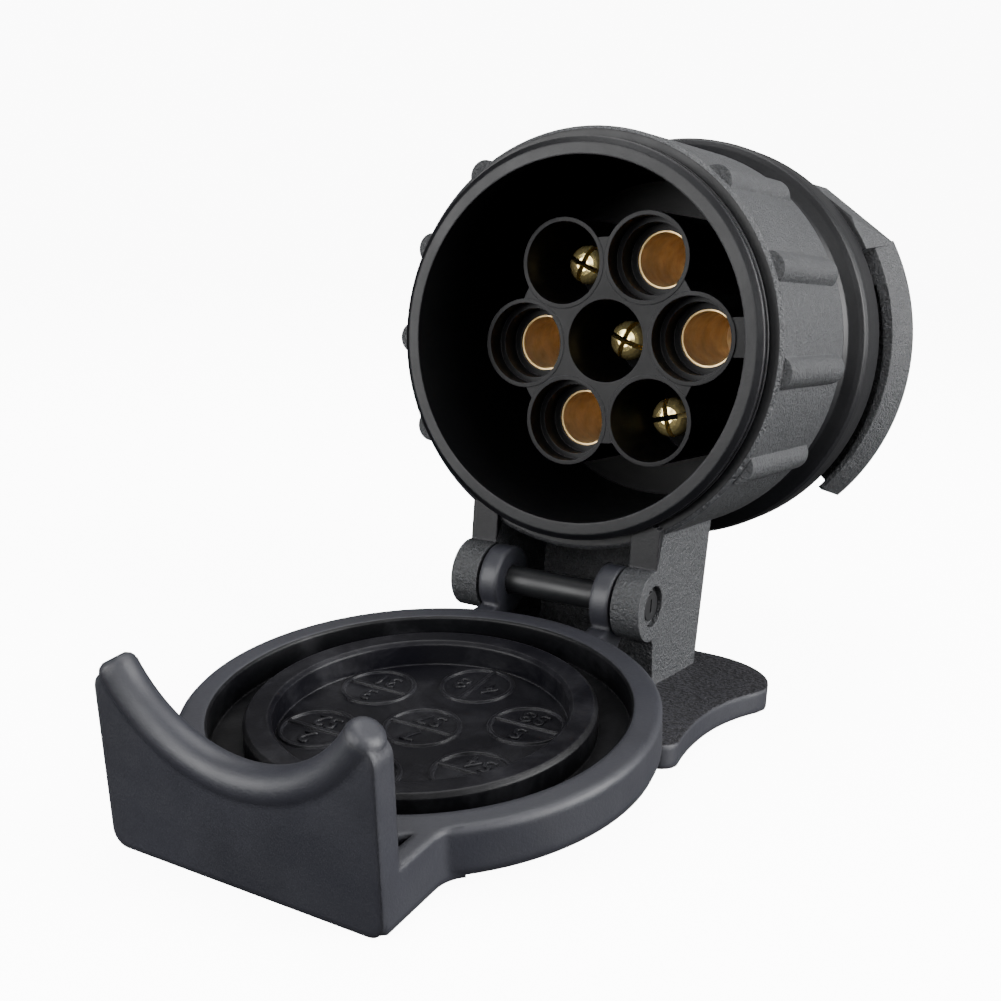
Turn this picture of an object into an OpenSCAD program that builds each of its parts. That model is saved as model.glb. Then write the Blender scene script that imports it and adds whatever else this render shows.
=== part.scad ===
// Short trailer wiring adapter: a 7-way socket with a hinged lid in front,
// a 13-way twist-lock plug behind, joined by one ribbed shell.
// Frame: origin on the socket axis in the plane of the mouth rim,
// +Y runs back along the axis towards the plug, +Z is up, the lid hinge is below.
// Every size is in millimetres.

/* [Socket shell] */
// inner radius of the socket mouth
mouth_r = 20.85; // [18:0.05:24]
// outer radius of the flat front rim
rim_r = 22.2; // [20:0.1:27]
// outer radius of the ribbed barrel
barrel_r = 24.3; // [22:0.1:30]
// where the ribbed barrel starts behind the rim
barrel_front_y = 2.3; // [1:0.1:5]
// where the barrel's ribbed length ends
barrel_back_y = 24.4; // [20:0.1:32]
// depth of the contact cavity floor below the rim
cavity_depth = 26; // [22:0.5:32]
// cavity radius at its floor, after the mould draft
floor_r = 20.3; // [18:0.05:24]
// straight length of the mouth before the draft starts
mouth_len = 8; // [5:0.5:9]
// width of one grip rib on the barrel
rib_w = 3.5; // [2:0.1:5]
// how far a grip rib stands out of the barrel
rib_h = 1.1; // [0.5:0.1:2]
// angle from one grip rib to the next
rib_pitch = 27.5; // [20:0.5:35]
// angle of the lowest grip rib, from +X towards +Z
rib_first = -31; // [-40:1:-20]
// number of grip ribs on each side
rib_count = 4; // [3:1:4]

/* [Hinge bracket and foot] */
// hinge axis position behind the rim plane
hinge_y = 1.45; // [0:0.05:3]
// hinge axis distance below the socket axis
hinge_drop = 29.1; // [28:0.1:33]
// radius of the hinge pin
pin_r = 1.7; // [1.2:0.05:2.6]
// radius of the two fixed hinge ears
ear_r = 4.1; // [3.6:0.1:4.7]
// inner face of each fixed ear and leg, from the middle
ear_in_x = 8.9; // [7:0.1:11]
// outer face of each bracket leg
leg_out_x = 11.9; // [10.5:0.1:14]
// how far the ear's outer face stands out of the leg
ear_proud = 0.5; // [0.2:0.1:1]
// back edge of the bracket legs
leg_back_y = 17.6; // [12:0.1:22]
// top surface of the foot below the socket axis
foot_drop = 39.3; // [39:0.1:44]
// foot plate thickness
foot_t = 2.6; // [1.8:0.1:4]
// half width of the foot at its widest, near the back
foot_half_w = 23; // [18:0.1:28]
// radius of the foot's two rounded back lobes
foot_lobe_r = 11.1; // [6:0.1:14]
// back edge of the foot
foot_back_y = 22.5; // [18:0.1:30]
// front edge of the foot, where the open lid lies above it
foot_front_y = -14; // [-16:0.1:-8]
// half width of the foot at its waist
foot_waist = 20.7; // [17:0.1:25]

/* [Contacts] */
// radius of the circle that the six outer contacts sit on
contact_pcd_r = 11; // [10:0.1:12]
// depth of the contact towers' front faces below the rim
tower_y = 9; // [8.8:0.1:14]
// outer radius of one contact tower
tower_r = 5.46; // [5.3:0.02:6]
// bore radius of the three pin towers
pin_tower_bore_r = 4.95; // [4:0.05:5.2]
// first counterbore radius of the four sleeve towers
sleeve_tower_bore_r = 4.95; // [4.2:0.05:5]
// second counterbore radius of the four sleeve towers
sleeve_step_r = 4.3; // [3.7:0.05:4.5]
// depth of the step between the two counterbores
sleeve_step_y = 11.5; // [10:0.1:14]
// outer radius of a sleeve contact
sleeve_r = 3.5; // [3:0.05:3.6]
// inner radius of a sleeve contact
sleeve_bore_r = 3.25; // [2.5:0.05:3.3]
// depth of the sleeve contacts' front rims below the rim plane
sleeve_y = 14.5; // [13:0.1:18]
// radius of a split pin contact
split_pin_r = 2.45; // [2:0.05:2.6]
// depth of the split pins' tips below the rim plane
split_pin_y = 14.3; // [12.5:0.1:16]
// width of the cross slot in a split pin
split_w = 0.6; // [0.3:0.1:1]
// width of the key between the insert and the shell wall
key_w = 4.6; // [3:0.1:6]
// turn of the contact insert about the socket axis, from the hinge line
insert_turn = 6; // [0:0.5:8]

/* [Lid] */
// opening angle of the lid from shut
lid_open = 100; // [0:1:100]
// outer radius of the lid disc
lid_r = 24.3; // [23:0.1:28]
// height of the lid disc
lid_t = 5.1; // [4:0.1:5.3]
// inner radius of the lid's outer wall
lid_wall_in_r = 21.3; // [20:0.1:23]
// outer radius of the lid's inner ring
lid_ring_r = 17.9; // [15:0.1:19]
// inner radius of the lid's inner ring
lid_ring_in_r = 15; // [12:0.1:16.5]
// depth of the trench and of the round floor inside the ring
lid_floor_depth = 3.1; // [2:0.1:4]
// air gap between the shut lid and the rim
lid_gap = 0.32; // [0.3:0.02:1]
// half width of one lid knuckle's inner face
knuckle_in_x = 6.2; // [4:0.1:7]
// outer radius of the lid knuckles
knuckle_r = 4; // [3.4:0.1:4.2]
// half width of the claw plate
claw_half_w = 15; // [12:0.1:18]
// distance of the claw plate's outer face from the lid's middle
claw_far = 27.9; // [27.8:0.1:32]
// claw plate thickness
claw_t = 2.6; // [1.8:0.1:2.8]
// radius of the claw's saddle curve, at the middle of its bead
saddle_r = 15.5; // [14:0.1:20]
// height of the saddle's lowest point above the lid's rim
saddle_low = 4.4; // [2:0.1:8]
// radius of the rounded bead along the saddle
bead_r = 1.8; // [1.2:0.05:1.9]

/* [Twist collar and plug] */
// outer radius of the collar's band
band_r = 26; // [25:0.1:32]
// back edge of the collar's band
band_back_y = 35.2; // [33.5:0.1:40]
// back end of the collar
collar_back_y = 45; // [44:0.1:50]
// outer radius of the twist wings
wing_r = 28.5; // [27:0.1:34]
// front face of the twist wings
wing_front_y = 37.4; // [36:0.1:40]
// back face of the twist wings
wing_back_y = 42.4; // [41:0.1:44]
// radius of the collar bore that the plug core turns in
core_bore_r = 21; // [19:0.1:22]
// outer radius of the plug nose
nose_r = 17.8; // [15:0.1:18]
// inner radius of the plug nose
nose_in_r = 15.8; // [13:0.1:16.5]
// back end of the plug nose
nose_back_y = 62; // [56:0.5:70]
// radius of a plug pin
plug_pin_r = 1.2; // [0.8:0.05:1.5]
// radius of the outer circle of eight plug pins
plug_outer_r = 11.5; // [10:0.1:13]
// radius of the inner circle of five plug pins
plug_inner_r = 5.5; // [4.5:0.1:7]

/* [Clearances] */
// radial running clearance of the lid on its pin
hinge_clear = 0.06; // [0.02:0.01:0.1]
// radial running clearance of the plug core in the collar
core_clear = 0.06; // [0.02:0.01:0.1]
// end play of the plug core each way
core_play = 0.4; // [0.3:0.05:1]
// radial interference of a pressed joint
press = 0.02; // [0.01:0.01:0.04]

/* [Hidden] */
$fn = 64;
hinge_z = -hinge_drop;
ear_out_x = leg_out_x + ear_proud;
lid_y = -lid_gap;
knuckle_out_x = ear_in_x - 0.4;
shell_back_y = 33;
shell_tail_r = 22.7;
rear_bore_r = 21.4;
insert_flange_r = rear_bore_r - 0.05;
insert_back_y = cavity_depth + 4.5;
clamp_ring_in_r = 16;
collar_neck_r = 19.6;
collar_rear_r = 23.4;
core_front_y = 39.2;
core_flange_back_y = 42;
core_floor_y = 46;
circlip_y = core_flange_back_y + core_play;
circlip_t = 0.8;
circlip_r = 22;
circlip_in_r = nose_r + 0.5;
tail_end_y = 33.5;
tie_y = 35.95;
wire_r = 0.5;
sleeve_tube_in_r = 2.5;
front_ring_r = sleeve_tube_in_r - wire_r * 1.12;
rear_ring_r = front_ring_r - 0.32;
plug_tail_y = 38.6;
plug_pin_end_y = 57;
dome_len = 1.9;
shank_step = 0.2;
nose_root_y = collar_back_y + 0.5;
root_step = 0.21;
shoulder_y = cavity_depth - 2.4;
split_len = shoulder_y + 0.3 - split_pin_y;
mark_r = 4.05;
mark_pcd_r = 10.7;
web_t = 2.4;
wing_free = -43;
wing_slot_end = 26;
wing_full = 31;
wing_root = 55;

// Points along an arc, for outlines.
function arc(cx, cy, r, a0, a1, n) =
    [for (i = [0:n]) let (a = a0 + (a1 - a0) * i / n) [cx + r * cos(a), cy + r * sin(a)]];
// A point at an angle on the contact circle or on a pin circle.
function on_ring(r, a) = [r * cos(a), 0, r * sin(a)];
// Where one of the six outer contacts sits.
function contact_at(a) = on_ring(contact_pcd_r, a + insert_turn);

// Turns a profile of [radius, y] points about the socket axis.
module turned(pts) {
    rotate([-90, 0, 0])
        rotate_extrude($fn = 96)
            polygon(pts);
}

// A round bar along the socket axis.
module bar_y(r, y0, y1) {
    translate([0, y0, 0])
        rotate([-90, 0, 0])
            cylinder(r = r, h = y1 - y0);
}

// A round bar across, along the hinge.
module bar_x(r, x0, x1) {
    translate([x0, 0, 0])
        rotate([0, 90, 0])
            cylinder(r = r, h = x1 - x0);
}

// Draws an outline of [x, z] points from y0 back to y1.
module slab_y(y0, y1, pts) {
    translate([0, y1, 0])
        rotate([90, 0, 0])
            linear_extrude(height = y1 - y0)
                polygon(pts);
}

// Draws an outline of [y, z] points from x0 across to x1.
module slab_x(x0, x1, pts) {
    translate([x0, 0, 0])
        rotate([90, 0, 90])
            linear_extrude(height = x1 - x0)
                polygon(pts);
}

// Keeps a piece and its copy on the other side.
module both_sides() {
    children();
    mirror([1, 0, 0]) children();
}

// ---- socket shell ----

module rim_and_barrel() {
    turned([
        [0, 0], [rim_r, 0], [rim_r + 0.7, 0.5], [rim_r + 0.7, 0.9],
        [rim_r + 0.2, 1.0], [rim_r + 0.2, 1.4], [rim_r + 0.75, 1.5], [rim_r + 0.75, 1.75],
        [rim_r + 0.2, 1.85], [rim_r + 0.2, barrel_front_y],
        [barrel_r - 0.4, barrel_front_y], [barrel_r, barrel_front_y + 0.4],
        [barrel_r, barrel_back_y], [shell_tail_r, barrel_back_y],
        [shell_tail_r, shell_back_y], [0, shell_back_y]
    ]);
}

// One half-round grip rib, flat in front and rounded behind.
module grip_rib(a) {
    round_r = rib_w * rib_w / (8 * rib_h) + rib_h / 2;
    back_y = barrel_back_y - round_r - 0.4;
    at = on_ring(barrel_r + rib_h - round_r, a);
    translate(at) {
        bar_y(round_r, barrel_front_y + 0.7, back_y);
        translate([0, back_y, 0])
            sphere(r = round_r, $fn = 32);
    }
}

// Side outline of one leg, from inside the barrel wall down to the foot.
module leg_wall() {
    slab_x(ear_in_x, leg_out_x, [
        [hinge_y + 0.15, -20], [hinge_y + 0.15, hinge_z - 2.5], [hinge_y + 1.9, hinge_z - 5],
        [hinge_y + 2.8, -foot_drop - 0.5], [leg_back_y - 0.6, -foot_drop - 0.5],
        [leg_back_y + 0.9, -20]
    ]);
    // raised strip down the front edge, which runs into the ear
    slab_x(leg_out_x - 0.5, ear_out_x, [
        [hinge_y + 0.15, -20.2], [hinge_y + 0.15, hinge_z], [hinge_y + 3.4, hinge_z],
        [hinge_y + 4.1, -20.2]
    ]);
    translate([0, hinge_y, hinge_z])
        bar_x(ear_r, ear_in_x, ear_out_x);
}

// Web that closes the bracket behind the hinge.
module leg_web() {
    slab_x(-ear_in_x - 0.6, ear_in_x + 0.6, [
        [leg_back_y - 0.4 - web_t, -20], [leg_back_y - 0.9 - web_t, -foot_drop - 0.5],
        [leg_back_y - 0.9, -foot_drop - 0.5], [leg_back_y + 0.5, -20]
    ]);
}

module foot() {
    lobe_x = foot_half_w - foot_lobe_r;
    lobe_y = foot_back_y - foot_lobe_r;
    front_w = foot_half_w - 1;
    corner_r = 2.2;
    waist_y = (lobe_y + foot_front_y) / 2 + 1.5;
    back_len = lobe_y - waist_y - 0.3;
    back_sag = foot_half_w - 0.4 - foot_waist;
    back_r = (back_len * back_len + back_sag * back_sag) / (2 * back_sag);
    front_len = waist_y - foot_front_y - corner_r - 0.4;
    front_sag = front_w - foot_waist;
    front_r = (front_len * front_len + front_sag * front_sag) / (2 * front_sag);
    right = concat(
        [[0, foot_back_y]],
        arc(lobe_x, lobe_y, foot_lobe_r, 90, 8, 10),
        arc(foot_waist + back_r, waist_y, back_r, 180 - asin(back_len / back_r), 180, 6),
        arc(foot_waist + front_r, waist_y, front_r, 182, 180 + asin(front_len / front_r), 6),
        arc(front_w - corner_r, foot_front_y + corner_r, corner_r, 0, -90, 5),
        [[0, foot_front_y]]
    );
    left = [for (i = [len(right) - 1:-1:0]) [-right[i][0], right[i][1]]];
    translate([0, 0, -foot_drop - foot_t])
        linear_extrude(height = foot_t)
            polygon(concat(right, left));
}

module socket_shell() {
    color("#2a2c2e")
    difference() {
        union() {
            rim_and_barrel();
            for (k = [0:rib_count - 1])
                both_sides() grip_rib(rib_first + k * rib_pitch);
            both_sides() leg_wall();
            leg_web();
            foot();
        }
        bar_y(mouth_r, -1, mouth_len);
        translate([0, mouth_len - 0.01, 0])
            rotate([-90, 0, 0])
                cylinder(r1 = mouth_r, r2 = floor_r, h = cavity_depth - mouth_len + 0.02);
        bar_y(rear_bore_r, cavity_depth, shell_back_y + 1);
        translate([0, hinge_y, hinge_z]) {
            bar_x(pin_r - press, -ear_out_x - 1, ear_out_x + 1);
            both_sides() bar_x(pin_r + 0.7, ear_out_x - 0.8, ear_out_x + 1);
        }
    }
}

module hinge_pin() {
    color("#3c3e40")
    difference() {
        translate([0, hinge_y, hinge_z])
            bar_x(pin_r, -ear_out_x + 0.3, ear_out_x - 0.3);
        translate([ear_out_x - 0.7, hinge_y - 0.2, hinge_z - 0.8])
            cube([1, 0.4, 1.6]);
    }
}

// ---- contact insert ----

module contact_insert() {
    color("#17181a")
    difference() {
        union() {
            bar_y(insert_flange_r, cavity_depth, insert_back_y);
            bar_y(contact_pcd_r + 1.3, tower_y + 0.06, cavity_depth + 1);
            for (a = [0:60:300])
                translate(contact_at(a))
                    bar_y(tower_r, tower_y, cavity_depth + 1);
            rotate([0, -insert_turn, 0])
                translate([contact_pcd_r + tower_r - 1.2, tower_y + 0.2, -key_w / 2])
                    cube([floor_r - contact_pcd_r - tower_r + 0.85, cavity_depth - tower_y, key_w]);
        }
        for (a = [0, 60, 180, 240])
            translate(contact_at(a)) {
                bar_y(sleeve_tower_bore_r, tower_y - 1, sleeve_step_y);
                bar_y(sleeve_step_r, sleeve_step_y - 1, sleeve_y - 0.3);
                bar_y(sleeve_r - press, tower_y, insert_back_y + 1);
            }
        for (a = [120, 300])
            translate(contact_at(a)) pin_tower_bores();
        pin_tower_bores();
    }
}

module pin_tower_bores() {
    bar_y(pin_tower_bore_r, tower_y - 1, cavity_depth - 2);
    bar_y(split_pin_r + shank_step - press, tower_y, insert_back_y + 1);
}

// Thin brass tube with a closed back and a round solder tail.
module sleeve_contact(a) {
    color("#b97a45")
    translate(contact_at(a))
    difference() {
        union() {
            bar_y(sleeve_r, sleeve_y, insert_back_y);
            bar_y(1.2, insert_back_y - 1, tail_end_y);
        }
        bar_y(sleeve_bore_r, sleeve_y - 1, insert_back_y - 1.5);
    }
}

module sleeve_0() { sleeve_contact(0); }
module sleeve_60() { sleeve_contact(60); }
module sleeve_180() { sleeve_contact(180); }
module sleeve_240() { sleeve_contact(240); }

// Round pin with a domed tip and a cross slot.
module split_pin(at, turn) {
    color("#d8b04a")
    translate(at)
    difference() {
        union() {
            turned(concat(
                [[0, split_pin_y], [0.8, split_pin_y]],
                [for (t = [20:17.5:90])
                    [0.8 + (split_pin_r - 0.8) * sin(t), split_pin_y + dome_len * (1 - cos(t))]],
                [[split_pin_r, shoulder_y], [split_pin_r + shank_step, shoulder_y]],
                [[split_pin_r + shank_step, insert_back_y], [0, insert_back_y]]
            ));
            bar_y(1.2, insert_back_y - 1, tail_end_y);
        }
        rotate([0, -turn, 0]) {
            translate([-split_w / 2, split_pin_y - 1, -split_pin_r - 1])
                cube([split_w, split_len + 1, 2 * split_pin_r + 2]);
            translate([-split_pin_r - 1, split_pin_y - 1, -split_w / 2])
                cube([2 * split_pin_r + 2, split_len + 1, split_w]);
        }
    }
}

module split_pin_120() { split_pin(contact_at(120), -22); }
module split_pin_mid() { split_pin([0, 0, 0], -20); }
module split_pin_300() { split_pin(contact_at(300), 15); }

module insert_clamp_ring() {
    color("#1d1f21")
    turned([
        [clamp_ring_in_r, insert_back_y], [insert_flange_r, insert_back_y],
        [insert_flange_r, shell_back_y], [clamp_ring_in_r, shell_back_y]
    ]);
}

// ---- wires ----

// A straight round bar between two points.
module bar_between(p0, p1, r) {
    d = p1 - p0;
    translate(p0)
        rotate([0, acos(d[2] / norm(d)), atan2(d[1], d[0])])
            cylinder(r = r, h = norm(d));
}

// A wire with a short thicker crimp at each end, both along the axis.
module wire_run(at_front, bend_front, bend_back, at_back) {
    crimp_r = wire_r * 1.12;
    bar_between(bend_front - [0, 0.1, 0], bend_back + [0, 0.1, 0], wire_r);
    bar_between(at_front, bend_front + [0, 0.4, 0], crimp_r);
    bar_between(bend_back - [0, 0.4, 0], at_back, crimp_r);
}

module front_wire(r, a, tint) {
    out = on_ring(r, a + insert_turn);
    in = on_ring(r > 0 ? front_ring_r : 0, a + insert_turn);
    color(tint)
    wire_run(
        out + [0, tail_end_y, 0], out + [0, tail_end_y + 0.75, 0],
        in + [0, tie_y - 0.65, 0], in + [0, tie_y + 0.2, 0]
    );
}

module front_wire_0() { front_wire(contact_pcd_r, 0, "#2a8f3c"); }
module front_wire_60() { front_wire(contact_pcd_r, 60, "#7a4a22"); }
module front_wire_120() { front_wire(contact_pcd_r, 120, "#c93028"); }
module front_wire_180() { front_wire(contact_pcd_r, 180, "#e6c62a"); }
module front_wire_240() { front_wire(contact_pcd_r, 240, "#2c56b0"); }
module front_wire_300() { front_wire(contact_pcd_r, 300, "#e8e8e4"); }
module front_wire_mid() { front_wire(0, 0, "#202020"); }

module wire_sleeve() {
    color("#141414")
    difference() {
        bar_y(sleeve_tube_in_r + 0.6, tie_y, tie_y + 0.8);
        bar_y(sleeve_tube_in_r, tie_y - 1, tie_y + 2);
    }
}

module rear_wire(k, tint) {
    a = (k - 1) * 45;
    in = on_ring(rear_ring_r, a);
    out = on_ring(plug_outer_r, a);
    color(tint)
    wire_run(
        in + [0, tie_y + 0.6, 0], in + [0, tie_y + 1.5, 0],
        out + [0, plug_tail_y - 0.75, 0], out + [0, plug_tail_y, 0]
    );
}

module rear_wire_1() { rear_wire(1, "#e6c62a"); }
module rear_wire_2() { rear_wire(2, "#2c56b0"); }
module rear_wire_3() { rear_wire(3, "#e8e8e4"); }
module rear_wire_4() { rear_wire(4, "#2a8f3c"); }
module rear_wire_5() { rear_wire(5, "#7a4a22"); }
module rear_wire_6() { rear_wire(6, "#c93028"); }
module rear_wire_7() { rear_wire(7, "#202020"); }

// ---- twist collar ----

module collar_ring() {
    groove_r = shell_tail_r + 0.7;
    turned([
        [shell_tail_r - press, barrel_back_y], [barrel_r - 0.5, barrel_back_y],
        [barrel_r - 0.6, barrel_back_y + 0.5], [groove_r + 0.1, barrel_back_y + 1.1],
        [groove_r, barrel_back_y + 1.7], [groove_r, barrel_back_y + 2.3],
        [groove_r + 0.15, barrel_back_y + 2.9], [groove_r + 0.55, barrel_back_y + 3.4],
        [band_r - 0.9, barrel_back_y + 3.9], [band_r - 0.25, barrel_back_y + 4.3],
        [band_r, barrel_back_y + 5], [band_r + 0.05, barrel_back_y + 6],
        [band_r, band_back_y - 0.9], [band_r - 0.3, band_back_y - 0.2], [band_r - 0.6, band_back_y],
        [collar_rear_r, band_back_y], [collar_rear_r, collar_back_y],
        [circlip_in_r + 1.2, collar_back_y], [circlip_in_r + 1.2, circlip_y + circlip_t],
        [circlip_r, circlip_y + circlip_t], [circlip_r, circlip_y],
        [core_bore_r, circlip_y], [core_bore_r, core_front_y - core_play],
        [collar_neck_r, core_front_y - core_play], [collar_neck_r, shell_back_y],
        [shell_tail_r - press, shell_back_y]
    ]);
}

// One wing: a curved lug that leaves the collar along a straight ramp
// and stays open towards the band as a narrowing crescent.
module wing() {
    inner_r = collar_rear_r - 0.6;
    cone = [
        [inner_r, wing_front_y], [wing_r - 1.6, wing_front_y], [wing_r, wing_back_y - 0.8],
        [wing_r - 0.4, wing_back_y], [inner_r, wing_back_y]
    ];
    crescent = concat(
        [for (i = [0:16]) let (
            t = i / 16,
            a = wing_free - 3 + (wing_slot_end - 6 - wing_free + 3) * t,
            r = wing_r - 2.1 - 0.9 * t
        ) [r * cos(a), r * sin(a)]],
        arc(0, 0, collar_rear_r + 0.05, wing_slot_end, wing_free - 3, 16)
    );
    ramp = concat(
        [[wing_r * cos(wing_full - 1), wing_r * sin(wing_full - 1)]],
        [[(band_r - 0.2) * cos(wing_root), (band_r - 0.2) * sin(wing_root)]],
        arc(0, 0, inner_r, wing_root, wing_full - 1, 6)
    );
    difference() {
        rotate([-90, 0, 0])
            rotate([0, 0, -wing_full])
                rotate_extrude(angle = wing_full - wing_free, $fn = 96)
                    polygon(cone);
        slab_y(wing_front_y - 1, wing_back_y - 1, crescent);
    }
    // straight ramp from the wing's top down to the band
    intersection() {
        slab_y(band_back_y - 0.5, wing_back_y - 0.5, ramp);
        turned([
            [0, band_back_y - 2], [wing_r - 2.4, band_back_y - 2],
            [wing_r - 0.05, wing_back_y - 0.8], [wing_r - 0.05, wing_back_y + 1], [0, wing_back_y + 1]
        ]);
    }
}

module bayonet_collar() {
    color("#2a2c2e")
    union() {
        collar_ring();
        for (a = [0, 180])
            rotate([0, a, 0]) wing();
    }
}

module core_circlip() {
    color("#8f9296")
    difference() {
        turned([
            [circlip_in_r, circlip_y], [circlip_r, circlip_y],
            [circlip_r, circlip_y + circlip_t], [circlip_in_r, circlip_y + circlip_t]
        ]);
        translate([-2.5, circlip_y - 1, -circlip_r - 1])
            cube([5, 3, 6]);
    }
}

// ---- plug core ----

module plug_core() {
    core_r = core_bore_r - core_clear;
    color("#1b1d1f")
    difference() {
        turned([
            [0, core_front_y], [core_r, core_front_y], [core_r, core_flange_back_y],
            [nose_r + root_step, core_flange_back_y], [nose_r + root_step, nose_root_y],
            [nose_r, nose_root_y], [nose_r, nose_back_y - 0.6],
            [nose_r - 0.6, nose_back_y], [nose_in_r, nose_back_y],
            [nose_in_r, core_floor_y], [0, core_floor_y]
        ]);
        // keyway along the top of the nose
        translate([-1.5, core_floor_y, nose_r - 1])
            cube([3, nose_back_y, 3]);
        for (k = [1:13])
            translate(plug_at(k))
                bar_y(plug_pin_r - press, core_front_y - 1, core_floor_y + 1);
    }
}

function plug_at(k) =
    k <= 8 ? on_ring(plug_outer_r, (k - 1) * 45) : on_ring(plug_inner_r, (k - 9) * 72 + 18);

module plug_pin(k) {
    color("#cfd1cc")
    translate(plug_at(k)) {
        bar_y(plug_pin_r, plug_tail_y, plug_pin_end_y - 0.6);
        translate([0, plug_pin_end_y - 0.6, 0])
            rotate([-90, 0, 0])
                cylinder(r1 = plug_pin_r, r2 = plug_pin_r - 0.5, h = 0.6);
    }
}

module plug_pin_1() { plug_pin(1); }
module plug_pin_2() { plug_pin(2); }
module plug_pin_3() { plug_pin(3); }
module plug_pin_4() { plug_pin(4); }
module plug_pin_5() { plug_pin(5); }
module plug_pin_6() { plug_pin(6); }
module plug_pin_7() { plug_pin(7); }
module plug_pin_8() { plug_pin(8); }
module plug_pin_9() { plug_pin(9); }
module plug_pin_10() { plug_pin(10); }
module plug_pin_11() { plug_pin(11); }
module plug_pin_12() { plug_pin(12); }
module plug_pin_13() { plug_pin(13); }

// ---- lid, drawn shut in front of the rim, then swung open ----

module lid_disc() {
    back = lid_y - lid_t;
    turned([
        [0, back], [lid_r - 1, back], [lid_r - 0.3, back + 0.3], [lid_r, back + 1],
        [lid_r, lid_y - 0.4], [lid_r - 0.4, lid_y],
        [lid_wall_in_r + 0.2, lid_y], [lid_wall_in_r, lid_y - 0.2],
        [lid_wall_in_r, lid_y - lid_floor_depth], [lid_ring_r, lid_y - lid_floor_depth],
        [lid_ring_r, lid_y - 0.7], [lid_ring_r - 0.4, lid_y - 0.3],
        [lid_ring_in_r + 0.4, lid_y - 0.3], [lid_ring_in_r, lid_y - 0.7],
        [lid_ring_in_r, lid_y - lid_floor_depth], [0, lid_y - lid_floor_depth]
    ]);
}

// Flat web from the disc out to the claw, with hollow corners.
module claw_web() {
    join_z = sqrt(lid_r * lid_r - claw_half_w * claw_half_w);
    web = concat(
        [[0, lid_r - 2]], [[claw_half_w - 4.5, join_z + 0.2]],
        arc(claw_half_w + 3.4, join_z + 1.2, 3.4, 232, 180, 8),
        [[claw_half_w, claw_far - 0.5], [claw_half_w - 0.5, claw_far - 0.1], [0, claw_far - 0.1]]
    );
    corner = [
        [claw_half_w - 1.8, join_z + 1.6], [claw_half_w - 1.8, claw_far - claw_t],
        [claw_half_w - 6.6, claw_far - claw_t]
    ];
    difference() {
        slab_y(lid_y - lid_t + 0.05, lid_y, web);
        slab_y(lid_y - lid_t + 1.2, lid_y + 1, corner);
        bar_y(lid_wall_in_r + 1.5, lid_y - lid_t - 1, lid_y + 1);
    }
}

module claw() {
    mid_y = lid_y + saddle_low + saddle_r;
    tip = asin((claw_half_w - bead_r + 0.1) / saddle_r);
    low = lid_y - lid_t - 0.4;
    tip_y = mid_y - saddle_r * cos(tip);
    // flat plate under the bead, drawn in x and y
    translate([0, 0, claw_far - claw_t])
        linear_extrude(height = claw_t)
            polygon(concat(
                arc(claw_half_w - 1.8, tip_y - 1.8, 1.8, 60, 0, 5),
                arc(claw_half_w - 1.6, low + 1.6, 1.6, 0, -90, 6),
                arc(-claw_half_w + 1.6, low + 1.6, 1.6, 270, 180, 6),
                arc(-claw_half_w + 1.8, tip_y - 1.8, 1.8, 180, 120, 5),
                arc(0, mid_y, saddle_r, 270 - tip, 270 + tip, 20)
            ));
    translate([0, mid_y, claw_far - bead_r + 0.4]) {
        rotate([0, 0, 270 - tip])
            rotate_extrude(angle = 2 * tip, $fn = 96)
                translate([saddle_r, 0])
                    circle(r = bead_r, $fn = 32);
        // blunt rounded ends
        both_sides()
            rotate([0, 0, 270 + tip])
                translate([saddle_r, 0, 0])
                    rotate([-90, 0, 0])
                        rotate_extrude()
                            polygon([
                                [0, -0.5], [bead_r - 0.08, -0.5], [bead_r - 0.08, 0.25],
                                [bead_r - 0.3, 0.62], [bead_r - 0.75, 0.9], [0, 0.9]
                            ]);
    }
}

// One hinge arm: a knuckle round the pin and a cheek up to the disc.
module knuckle_arm() {
    back = lid_y - lid_t;
    translate([0, hinge_y, hinge_z])
        bar_x(knuckle_r, knuckle_in_x, knuckle_out_x);
    slab_x(knuckle_in_x, knuckle_out_x, [
        [hinge_y - 0.3 * knuckle_r, hinge_z - 0.95 * knuckle_r],
        [back + 1.2, hinge_z + 1.6], [back, hinge_z + 3.2], [back, -lid_r + 3],
        [lid_y - 0.6, -lid_r + 3], [lid_y - 0.6, hinge_z + 0.9 * knuckle_r], [hinge_y, hinge_z]
    ]);
}

module lid_shut() {
    difference() {
        union() {
            lid_disc();
            both_sides() knuckle_arm();
            // cross block between the two arms
            translate([-knuckle_out_x, lid_y - lid_t, -lid_r - 1])
                cube([2 * knuckle_out_x, lid_t - 1.6, 3]);
            both_sides() claw_web();
            claw();
        }
        translate([0, hinge_y, hinge_z])
            bar_x(pin_r + hinge_clear, -ear_out_x, ear_out_x);
    }
}

// The fuse map cast into the floor: a ring and a bar for each contact.
module lid_mark(a, r, bar_turn) {
    translate(on_ring(r, a))
        rotate([0, bar_turn, 0])
            translate([0.3 - mark_r, lid_y - lid_floor_depth - 0.2, -0.2])
                cube([2 * mark_r - 0.6, 0.45, 0.4]);
    translate(on_ring(r, a))
        difference() {
            bar_y(mark_r, lid_y - lid_floor_depth - 0.2, lid_y - lid_floor_depth + 0.25);
            bar_y(mark_r - 0.4, lid_y - lid_floor_depth - 1, lid_y);
        }
}

module lid_cover() {
    color("#26282a")
    translate([0, hinge_y, hinge_z])
        rotate([lid_open, 0, 0])
            translate([0, -hinge_y, -hinge_z]) {
                lid_shut();
                for (a = [30:60:330])
                    lid_mark(a, mark_pcd_r, a == 270 ? 90 : 0);
                lid_mark(0, 0, 0);
            }
}

// ---- what is drawn ----

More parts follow.
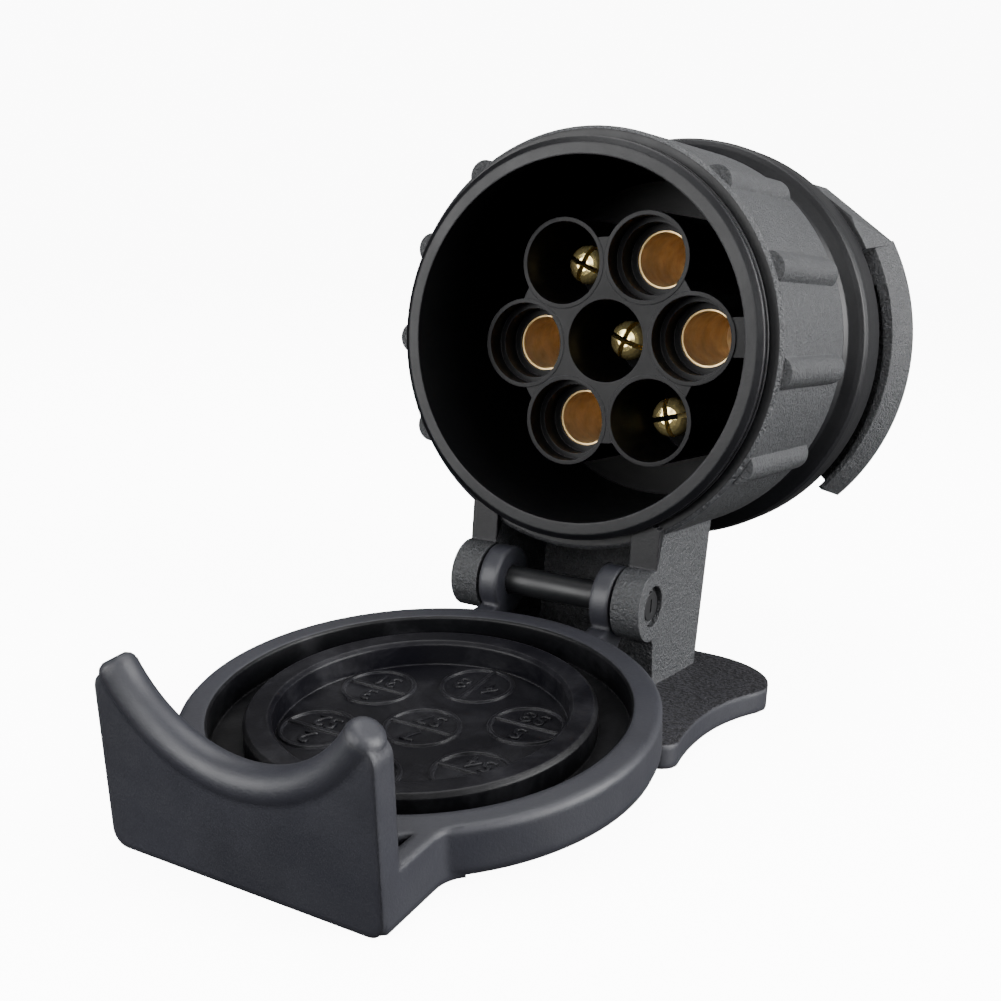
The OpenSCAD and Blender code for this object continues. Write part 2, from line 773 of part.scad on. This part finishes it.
socket_shell();
contact_insert();
sleeve_0();
sleeve_60();
sleeve_180();
sleeve_240();
split_pin_120();
split_pin_mid();
split_pin_300();
insert_clamp_ring();
hinge_pin();
wire_sleeve();
front_wire_0();
front_wire_60();
front_wire_120();
front_wire_180();
front_wire_240();
front_wire_300();
front_wire_mid();
bayonet_collar();
core_circlip();
lid_cover();
plug_core();
plug_pin_1();
plug_pin_2();
plug_pin_3();
plug_pin_4();
plug_pin_5();
plug_pin_6();
plug_pin_7();
plug_pin_8();
plug_pin_9();
plug_pin_10();
plug_pin_11();
plug_pin_12();
plug_pin_13();
rear_wire_1();
rear_wire_2();
rear_wire_3();
rear_wire_4();
rear_wire_5();
rear_wire_6();
rear_wire_7();
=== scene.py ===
import math

import bmesh
import bpy
from mathutils import Matrix, Vector


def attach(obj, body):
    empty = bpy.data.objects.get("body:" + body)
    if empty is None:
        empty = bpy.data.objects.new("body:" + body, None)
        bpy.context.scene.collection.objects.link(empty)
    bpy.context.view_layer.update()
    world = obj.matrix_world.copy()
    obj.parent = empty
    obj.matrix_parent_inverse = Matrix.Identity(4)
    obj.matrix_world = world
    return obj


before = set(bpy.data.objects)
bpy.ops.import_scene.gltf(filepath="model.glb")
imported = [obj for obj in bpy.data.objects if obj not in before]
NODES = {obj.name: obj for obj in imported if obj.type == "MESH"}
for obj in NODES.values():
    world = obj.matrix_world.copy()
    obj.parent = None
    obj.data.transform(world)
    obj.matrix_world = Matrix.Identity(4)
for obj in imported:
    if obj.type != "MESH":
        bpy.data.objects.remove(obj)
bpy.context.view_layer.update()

MM = 0.001

# Where surfaces change, in the part's frame: mm, origin in the rim plane, +Y back, +Z up.
FOOT_TOP_Z = -39.2
FOOT_BOTTOM_Z = -41.95
FOOT_BACK_Y = 22.5
CAVITY_R = 21.0
GROOVE_BACK_Y = 2.35
BAND_BACK_Y = 35.3
SLEEVE_RIM_Y = 14.62
HINGE = Vector((0, 1.45, -29.1))
OPEN = math.radians(100)
LID_INSIDE_Y = -3.6
LID_FLOOR_Y = -3.42
TRENCH_IN_R = 17.2
TRENCH_OUT_R = 21.45
MARK_CIRCLE_R = 10.7

# The open part stands on the back of the foot and the claw, which tips it this much.
STANCE_DEG = 3.2


# ---------------------------------------------------------------- node helpers

def new_material(name):
    m = bpy.data.materials.new(name)
    m.use_nodes = True
    nt = m.node_tree
    nt.nodes.clear()
    out = nt.nodes.new("ShaderNodeOutputMaterial")
    bsdf = nt.nodes.new("ShaderNodeBsdfPrincipled")
    nt.links.new(bsdf.outputs[0], out.inputs[0])
    return m, nt, bsdf


def add(nt, kind, **props):
    n = nt.nodes.new(kind)
    for k, v in props.items():
        if k in n.inputs.keys():
            n.inputs[k].default_value = v
        else:
            setattr(n, k, v)
    return n


def coords(nt):
    return add(nt, "ShaderNodeTexCoord").outputs["Object"]


def noise(nt, vec, scale, detail=4.0, rough=0.55, distort=0.0):
    n = add(nt, "ShaderNodeTexNoise")
    n.inputs["Scale"].default_value = scale
    n.inputs["Detail"].default_value = detail
    n.inputs["Roughness"].default_value = rough
    n.inputs["Distortion"].default_value = distort
    nt.links.new(vec, n.inputs["Vector"])
    return n.outputs["Fac"]


def ramp(nt, fac, stops):
    """A colour ramp through (position, grey or RGB) stops."""
    r = add(nt, "ShaderNodeValToRGB")
    el = r.color_ramp.elements
    while len(el) > 1:
        el.remove(el[-1])
    for i, (p, c) in enumerate(stops):
        e = el[0] if i == 0 else el.new(p)
        e.position = p
        e.color = (c[0], c[1], c[2], 1) if hasattr(c, "__len__") else (c, c, c, 1)
    nt.links.new(fac, r.inputs[0])
    return r.outputs[0]


def remap(nt, fac, a, b, lo, hi):
    n = add(nt, "ShaderNodeMapRange")
    for k, v in (("From Min", a), ("From Max", b), ("To Min", lo), ("To Max", hi)):
        n.inputs[k].default_value = v
    nt.links.new(fac, n.inputs["Value"])
    return n.outputs["Result"]


def combine(nt, a, b, op="MULTIPLY"):
    """The product, or another operation, of two sockets or numbers."""
    n = add(nt, "ShaderNodeMath", operation=op)
    for i, v in enumerate((a, b)):
        if hasattr(v, "links"):
            nt.links.new(v, n.inputs[i])
        else:
            n.inputs[i].default_value = v
    return n.outputs[0]


def mix_color(nt, fac, a, b):
    n = add(nt, "ShaderNodeMix", data_type="RGBA")
    for idx, v in ((0, fac), (6, a), (7, b)):
        if hasattr(v, "links"):
            nt.links.new(v, n.inputs[idx])
        elif idx == 0:
            n.inputs[0].default_value = v
        else:
            n.inputs[idx].default_value = (v[0], v[1], v[2], 1)
    return n.outputs[2]


def bump(nt, height, strength, distance, normal=None):
    b = add(nt, "ShaderNodeBump")
    b.inputs["Strength"].default_value = strength
    b.inputs["Distance"].default_value = distance
    nt.links.new(height, b.inputs["Height"])
    if normal is not None:
        nt.links.new(normal, b.inputs["Normal"])
    return b.outputs[0]


# ---------------------------------------------------------------- materials

DUST_COLOR = (0.10, 0.10, 0.11)
WORN_COLOR = (0.11, 0.11, 0.12)


def plastic(name, base, rough, grain=2600.0, grain_h=0.00003, grain_s=0.35, round_r=0.00025,
            scuff=0.0, spec=0.5, dust=0.0, wear=0.0, speckle=0.0):
    """Black moulded plastic.

    grain is the spark-eroded grain's frequency per metre, grain_h its height and grain_s its
    strength. speckle lightens the grain's peaks, scuff draws thin streaks, dust adds pale patches,
    and wear pales the edges, which round_r rounds.
    """
    m, nt, b = new_material(name)
    v = coords(nt)
    broad = noise(nt, v, 60.0, 5.0)
    fine = noise(nt, v, grain, 3.0, 0.6)
    mid = noise(nt, v, grain * 0.28, 4.0, 0.6)
    color = ramp(nt, broad, [(0.3, [c * 0.82 for c in base]), (0.7, [c * 1.2 for c in base])])
    if speckle:
        pits = ramp(nt, fine, [(0.36, 0.0), (0.64, 1.0)])
        color = mix_color(nt, pits, [c * (1 - speckle) for c in base], [c * (1 + speckle) for c in base])
    if scuff:
        drawn = add(nt, "ShaderNodeMapping")
        drawn.inputs["Scale"].default_value = (1.0, 7.0, 1.0)
        drawn.inputs["Rotation"].default_value = (0.3, 0.2, 0.7)
        nt.links.new(v, drawn.inputs["Vector"])
        streaks = ramp(nt, noise(nt, drawn.outputs[0], 240.0, 6.0, 0.7, 0.6), [(0.58, 0.0), (0.72, 1.0)])
        color = mix_color(nt, combine(nt, streaks, scuff), color, [c * 3.5 for c in base])
    if dust:
        patches = ramp(nt, noise(nt, v, 110.0, 8.0, 0.72, 0.5), [(0.46, 0.0), (0.66, 1.0)])
        color = mix_color(nt, combine(nt, patches, dust), color, DUST_COLOR)
    soft = add(nt, "ShaderNodeBevel", samples=6)
    soft.inputs["Radius"].default_value = round_r
    if wear:
        geo = add(nt, "ShaderNodeNewGeometry")
        dot = add(nt, "ShaderNodeVectorMath", operation="DOT_PRODUCT")
        nt.links.new(soft.outputs[0], dot.inputs[0])
        nt.links.new(geo.outputs["Normal"], dot.inputs[1])
        edge = remap(nt, dot.outputs["Value"], 0.985, 0.80, 0.0, 1.0)
        rub = remap(nt, noise(nt, v, 330.0, 6.0, 0.7), 0.35, 0.65, 0.15, 1.0)
        amount = combine(nt, combine(nt, edge, rub), wear)
        color = mix_color(nt, amount, color, WORN_COLOR)
    nt.links.new(color, b.inputs["Base Color"])
    uneven = remap(nt, noise(nt, v, 140.0, 6.0, 0.65), 0.3, 0.7, rough - 0.06, rough + 0.06)
    nt.links.new(uneven, b.inputs["Roughness"])
    b.inputs["Specular IOR Level"].default_value = spec
    height = combine(nt, combine(nt, fine, 0.6), combine(nt, mid, 0.5), op="ADD")
    nt.links.new(bump(nt, height, grain_s, grain_h, soft.outputs[0]), b.inputs["Normal"])
    return m


def leather(name, base, rough, pebbles=2300.0):
    """Coarse moulded leather grain: raised pebbles, so many per metre, paler than their creases."""
    m, nt, b = new_material(name)
    v = coords(nt)
    lumps = noise(nt, v, pebbles, 2.0, 0.5)
    pebble = ramp(nt, lumps, [(0.40, 0.0), (0.50, 0.55), (0.60, 1.0)])
    color = mix_color(nt, pebble, [c * 0.5 for c in base], [c * 1.45 for c in base])
    nt.links.new(color, b.inputs["Base Color"])
    nt.links.new(remap(nt, pebble, 0.0, 1.0, rough + 0.12, rough - 0.06), b.inputs["Roughness"])
    soft = add(nt, "ShaderNodeBevel", samples=6)
    soft.inputs["Radius"].default_value = 0.0004
    fine = bump(nt, noise(nt, v, 4600.0, 2.0), 0.3, 0.00003, soft.outputs[0])
    nt.links.new(bump(nt, pebble, 0.8, 0.00012, fine), b.inputs["Normal"])
    return m


def metal(name, base, rough, lines, tint=None, rim=None, metallic=1.0):
    """Turned or drawn metal: fine lines round the Y axis, stains of the tint, and a bright rim.

    rim is (y, colour), and paints what lies in front of y.
    """
    m, nt, b = new_material(name)
    v = coords(nt)
    broad = noise(nt, v, 420.0, 5.0, 0.6)
    color = ramp(nt, broad, [(0.25, [c * 0.75 for c in base]), (0.75, [min(1, c * 1.1) for c in base])])
    if tint:
        spots = ramp(nt, noise(nt, v, 900.0, 4.0, 0.7), [(0.52, 0.0), (0.70, 1.0)])
        color = mix_color(nt, combine(nt, spots, 0.5), color, tint)
    if rim:
        sep = add(nt, "ShaderNodeSeparateXYZ")
        nt.links.new(v, sep.inputs[0])
        at = remap(nt, sep.outputs["Y"], rim[0], rim[0] + 0.00005, 1.0, 0.0)
        color = mix_color(nt, at, color, rim[1])
    nt.links.new(color, b.inputs["Base Color"])
    b.inputs["Metallic"].default_value = metallic
    uneven = remap(nt, noise(nt, v, 700.0, 5.0), 0.3, 0.7, rough * 0.75, rough * 1.35)
    nt.links.new(uneven, b.inputs["Roughness"])
    soft = add(nt, "ShaderNodeBevel", samples=6)
    soft.inputs["Radius"].default_value = 0.00012
    turned = add(nt, "ShaderNodeMapping")
    turned.inputs["Scale"].default_value = (40.0, lines, 40.0)
    nt.links.new(v, turned.inputs["Vector"])
    tool_marks = bump(nt, noise(nt, turned.outputs[0], 1.0, 3.0), 0.25, 0.00002, soft.outputs[0])
    nt.links.new(tool_marks, b.inputs["Normal"])
    return m


def insulation(name, base):
    """Soft wire insulation, a little uneven in colour and gloss."""
    m, nt, b = new_material(name)
    v = coords(nt)
    color = ramp(nt, noise(nt, v, 500.0), [(0.3, [c * 0.8 for c in base]), (0.7, base)])
    nt.links.new(color, b.inputs["Base Color"])
    nt.links.new(remap(nt, noise(nt, v, 1500.0), 0.3, 0.7, 0.35, 0.5), b.inputs["Roughness"])
    nt.links.new(bump(nt, noise(nt, v, 3000.0), 0.2, 0.00002), b.inputs["Normal"])
    return m


SHELL = plastic("shell_grain", (0.0182, 0.0194, 0.0216), 0.50, grain=3300.0, grain_s=1.0, grain_h=0.0005,
                round_r=0.0003, spec=0.6, wear=0.3, speckle=0.45)
# Painted shade: the rim, the grooves and the band have a smoother finish than the grained shell, and their
# base colour is about eight times darker to stand in for the shade on them.
SMOOTH_PAINTED_SHADE = plastic("shell_smooth_painted_shade", (0.0022, 0.0023, 0.0032), 0.42, grain=3200.0, grain_s=0.3, grain_h=0.00010,
                 round_r=0.0003, spec=0.28, wear=0.3)
# Painted shade: the inside of the shell is painted near black, darker than any outer face, for the shade
# inside the cavity.
INSIDE_PAINTED_SHADE = plastic("shell_inside_painted_shade", (0.0014, 0.0014, 0.0018), 0.50, grain=3200.0, grain_s=0.12, grain_h=0.00002,
                spec=0.15)
SATIN = plastic("lid_satin", (0.0125, 0.0130, 0.0178), 0.50, grain=3300.0, grain_s=0.3, grain_h=0.00010,
                scuff=0.04, round_r=0.0009, spec=0.5, wear=0.12)
DUSTY = plastic("lid_floor", (0.0026, 0.0025, 0.0038), 0.34, grain=2200.0, grain_s=0.3, grain_h=0.00010,
                scuff=0.12, dust=0.10, round_r=0.0003, spec=0.2, wear=0.25)
TRENCH = plastic("lid_trench", (0.0012, 0.0012, 0.0018), 0.42, grain=2200.0, grain_s=0.3, grain_h=0.00010,
                 scuff=0.3, dust=0.08, round_r=0.0003, spec=0.22, wear=0.2)
FOOT = leather("foot_leather", (0.0140, 0.0138, 0.0168), 0.42)
INSERT = plastic("insert_gloss", (0.0016, 0.0016, 0.0020), 0.42, grain=3600.0, grain_s=0.12, grain_h=0.00002,
                 round_r=0.00012, spec=0.16, wear=0.6)
PINBLK = plastic("pin_black", (0.0055, 0.0058, 0.0066), 0.44, grain=5200.0, grain_s=0.2, spec=0.35)
COPPER = metal("sleeve_copper", (0.71, 0.52, 0.29), 0.44, lines=2600.0, tint=(0.55, 0.36, 0.15),
               rim=(SLEEVE_RIM_Y * MM, (0.92, 0.66, 0.32)), metallic=0.7)
BRASS = metal("pin_brass", (1.0, 0.77, 0.33), 0.17, lines=2200.0, tint=(0.42, 0.26, 0.07), metallic=0.9)
PLATED = metal("plated", (0.75, 0.74, 0.70), 0.24, lines=2600.0)
STEEL = metal("spring_steel", (0.42, 0.42, 0.43), 0.32, lines=2000.0)
RUBBER = plastic("sleeve_rubber", (0.012, 0.012, 0.012), 0.70, grain=4000.0)
WIRES = {
    "green": (0.04, 0.30, 0.07), "brown": (0.19, 0.08, 0.03), "red": (0.55, 0.03, 0.02),
    "yellow": (0.75, 0.55, 0.03), "blue": (0.03, 0.09, 0.42), "white": (0.78, 0.78, 0.75),
    "dark": (0.012, 0.012, 0.013),
}
FRONT_TINT = {
    "0": "green", "60": "brown", "120": "red", "180": "yellow", "240": "blue", "300": "white", "mid": "dark",
}
REAR_TINT = {
    "1": "yellow", "2": "blue", "3": "white", "4": "green", "5": "brown", "6": "red", "7": "dark",
}
WIRE_MATS = {k: insulation("wire_" + k, c) for k, c in WIRES.items()}


def paint(o, m):
    o.data.materials.clear()
    o.data.materials.append(m)


def paint_regions(o, mats, pick):
    """Gives each face of a CAD node one of several materials, by its middle and normal in mm."""
    o.data.materials.clear()
    for m in mats:
        o.data.materials.append(m)
    for f in o.data.polygons:
        c = f.center / MM
        f.material_index = pick(c, f.normal, math.hypot(c.x, c.z))


def shell_region(c, n, r):
    """0 grained outside, 1 smooth rim darkened with painted shade, 2 inside in painted shade, 3 top of the
    foot, 4 its edge and underside.
    """
    if c.z < FOOT_TOP_Z:
        return 3 if n.z > 0.5 else 4
    faces_in = n.x * c.x + n.z * c.z < 0 or abs(n.y) > 0.9
    if r < CAVITY_R and c.z > -CAVITY_R and faces_in:
        return 2
    if c.y < GROOVE_BACK_Y and r > CAVITY_R - 1 and c.z > -24.6:
        return 1
    return 0


def collar_region(c, n, r):
    """1 on the groove and the smooth band, both darkened with painted shade, 0 behind it."""
    return 1 if c.y < BAND_BACK_Y else 0


def lid_region(c, n, r):
    """0 outside, 1 floor and ring, 2 trench, found on the lid as it lies when shut."""
    shut = Matrix.Rotation(-OPEN, 3, "X") @ (c - HINGE) + HINGE
    across = math.hypot(shut.x, shut.z)
    if shut.y < LID_INSIDE_Y or across > TRENCH_OUT_R:
        return 0
    return 2 if across > TRENCH_IN_R else 1


REGIONS = {
    "socket_shell": ((SHELL, SMOOTH_PAINTED_SHADE, INSIDE_PAINTED_SHADE, FOOT, SATIN), shell_region),
    "bayonet_collar": ((SHELL, SMOOTH_PAINTED_SHADE), collar_region),
    "lid_cover": ((SATIN, DUSTY, TRENCH), lid_region),
}
WHOLE = {
    "contact_insert": INSERT, "plug_core": INSERT, "insert_clamp_ring": INSERT, "core_circlip": STEEL,
    "hinge_pin": PINBLK, "wire_sleeve": RUBBER,
}
FAMILY = {"sleeve_": COPPER, "split_pin": BRASS, "plug_pin": PLATED}

for name, o in NODES.items():
    last = name.rsplit("_", 1)[1]
    if name in REGIONS:
        paint_regions(o, *REGIONS[name])
    elif name in WHOLE:
        paint(o, WHOLE[name])
    elif name.startswith("front_wire_"):
        paint(o, WIRE_MATS[FRONT_TINT[last]])
    elif name.startswith("rear_wire_"):
        paint(o, WIRE_MATS[REAR_TINT[last]])
    else:
        paint(o, next(m for start, m in FAMILY.items() if name.startswith(start)))

# ---------------------------------------------------------------- raised numbers on the lid floor

SWING = Matrix.Translation(HINGE * MM) @ Matrix.Rotation(OPEN, 4, "X") @ Matrix.Translation(-HINGE * MM)
DIGIT_SIZE = 3.1
DIGIT_OFF_BAR = 1.75


def digits(text, x, z, size):
    """A raised number lying on the lid floor at x, z of the shut lid, read from the hinge side."""
    d = bpy.data.curves.new("digits", "FONT")
    d.body = text
    d.size = size * MM
    d.align_x = "CENTER"
    d.align_y = "CENTER"
    d.extrude = 0.16 * MM
    d.bevel_depth = 0.03 * MM
    d.resolution_u = 3
    o = bpy.data.objects.new("digits", d)
    bpy.context.scene.collection.objects.link(o)
    place = Matrix(((-1, 0, 0, x * MM), (0, 0, 1, LID_FLOOR_Y * MM), (0, 1, 0, z * MM), (0, 0, 0, 1)))
    solid = o.evaluated_get(bpy.context.evaluated_depsgraph_get())
    mesh = bpy.data.meshes.new_from_object(solid)
    mesh.transform(SWING @ place)
    bpy.data.objects.remove(o)
    return mesh


# the contact's number, then its second number, below and above the bar of each circle
marks = bmesh.new()
for angle, number, second in ((330, "5", "58"), (30, "6", "54"), (90, "1", "11"), (150, "2", "52"),
                              (210, "3", "31"), (None, "7", "57")):
    x = z = 0.0
    if angle is not None:
        x = MARK_CIRCLE_R * math.cos(math.radians(angle))
        z = MARK_CIRCLE_R * math.sin(math.radians(angle))
    marks.from_mesh(digits(number, x, z + DIGIT_OFF_BAR, DIGIT_SIZE))
    marks.from_mesh(digits(second, x, z - DIGIT_OFF_BAR, DIGIT_SIZE))
# the bar of the circle nearest the hinge runs the other way, with one larger digit on each side
for number, side in (("4", 1), ("8", -1)):
    marks.from_mesh(digits(number, side * DIGIT_OFF_BAR, -MARK_CIRCLE_R, 3.4))
mark_mesh = bpy.data.meshes.new("lid_digits")
marks.to_mesh(mark_mesh)
marks.free()
lid_digits = bpy.data.objects.new("lid_digits", mark_mesh)
bpy.context.scene.collection.objects.link(lid_digits)
paint(lid_digits, DUSTY)
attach(lid_digits, "lid")

# ---------------------------------------------------------------- stage

def cove():
    """A round studio cove, in metres: flat floor, wide curve, then a dome that closes over the top."""
    flat_r, curve_r, dome_h = 0.9, 1.2, 2.0
    profile = [(0.0, 0.0), (flat_r, 0.0)]
    for a in range(6, 91, 6):
        t = math.radians(a)
        profile.append((flat_r + curve_r * math.sin(t), curve_r - curve_r * math.cos(t)))
    for a in range(10, 90, 10):
        t = math.radians(a)
        profile.append(((flat_r + curve_r) * math.cos(t), curve_r + dome_h * math.sin(t)))
    profile.append((0.0, curve_r + dome_h))
    bm = bmesh.new()
    verts = [bm.verts.new((r, 0, z)) for r, z in profile]
    for p, q in zip(verts, verts[1:]):
        bm.edges.new((p, q))
    bmesh.ops.spin(bm, geom=bm.verts[:] + bm.edges[:], axis=(0, 0, 1), cent=(0, 0, 0),
                   angle=math.tau, steps=64, use_merge=True)
    bmesh.ops.remove_doubles(bm, verts=bm.verts[:], dist=1e-5)
    for f in bm.faces:
        f.smooth = True
    me = bpy.data.meshes.new("floor")
    bm.to_mesh(me)
    bm.free()
    return me


floor = bpy.data.objects.new("floor", cove())
bpy.context.scene.collection.objects.link(floor)
floor.rotation_euler = (math.radians(STANCE_DEG), 0, 0)
floor.location = Vector((0, FOOT_BACK_Y, FOOT_BOTTOM_Z)) * MM
fm, fnt, fb = new_material("floor")
tone = ramp(fnt, noise(fnt, coords(fnt), 3.0), [(0.3, 0.90), (0.7, 0.93)])
fnt.links.new(tone, fb.inputs["Base Color"])
fb.inputs["Roughness"].default_value = 0.9
fb.inputs["Specular IOR Level"].default_value = 0.1
fb.inputs["Emission Color"].default_value = (1, 1, 1, 1)
fb.inputs["Emission Strength"].default_value = 10.0
paint(floor, fm)
# it glows as a white ground, and lights nothing
floor.visible_diffuse = False
floor.visible_glossy = False
floor.visible_shadow = False

# a dim surround, brighter to the upper right
world = bpy.data.worlds.new("studio")
bpy.context.scene.world = world
world.use_nodes = True
wn = world.node_tree
wn.nodes.clear()
bg = wn.nodes.new("ShaderNodeBackground")
wo = wn.nodes.new("ShaderNodeOutputWorld")
wn.links.new(bg.outputs[0], wo.inputs[0])
sky = wn.nodes.new("ShaderNodeTexCoord")
toward = wn.nodes.new("ShaderNodeVectorMath")
toward.operation = "DOT_PRODUCT"
toward.inputs[1].default_value = Vector((0.75, 0.1, 0.65)).normalized()
wn.links.new(sky.outputs["Generated"], toward.inputs[0])
side = remap(wn, toward.outputs["Value"], -1.0, 1.0, 0.0, 1.0)
wn.links.new(ramp(wn, side, [(0.0, 0.02), (0.45, 0.10), (0.75, 0.40), (1.0, 0.9)]), bg.inputs[0])
bg.inputs[1].default_value = 1.0


def softbox(name, at, aim, size, power):
    """A square area light at a point and turned to another, in mm; size in metres, power in watts."""
    d = bpy.data.lights.new(name, "AREA")
    d.energy = power
    d.shape = "RECTANGLE"
    d.size = size
    d.size_y = size
    o = bpy.data.objects.new(name, d)
    bpy.context.scene.collection.objects.link(o)
    o.location = Vector(at) * MM
    o.rotation_mode = "QUATERNION"
    o.rotation_quaternion = (Vector(aim) * MM - o.location).to_track_quat("-Z", "Y")


softbox("key_right", (460, 60, 150), (0, 10, -5), 0.36, 7.4)
softbox("top", (-60, 60, 480), (0, -20, -20), 0.40, 2.6)
softbox("front", (60, -430, 150), (0, -10, -15), 0.24, 1.4)
softbox("front_left", (-250, -400, 60), (0, -20, -15), 0.30, 2.8)

# ---------------------------------------------------------------- camera

CAM_AT = Vector((70.268, -135.621, 7.156))
FOCAL_PX = 1330.68
IMAGE_PX = 1001.0
SENSOR_MM = 36.0

yaw, pitch, roll = (math.radians(a) for a in (29.911, 9.672, 3.821))
level = Vector((-math.sin(yaw), math.cos(yaw), 0))
fwd = level * math.cos(pitch) - Vector((0, 0, math.sin(pitch)))
flat = Vector((math.cos(yaw), math.sin(yaw), 0))
high = flat.cross(fwd)
right = flat * math.cos(roll) + high * math.sin(roll)
up = high * math.cos(roll) - flat * math.sin(roll)
cam_data = bpy.data.cameras.new("camera")
cam = bpy.data.objects.new("camera", cam_data)
bpy.context.scene.collection.objects.link(cam)
cam_data.sensor_width = SENSOR_MM
cam_data.lens = SENSOR_MM * FOCAL_PX / IMAGE_PX
cam_data.clip_start = 0.005
cam_data.clip_end = 20.0
turn = Matrix((right, up, -fwd)).transposed().to_4x4()
cam.matrix_world = Matrix.Translation(CAM_AT * MM) @ turn
bpy.context.scene.camera = cam
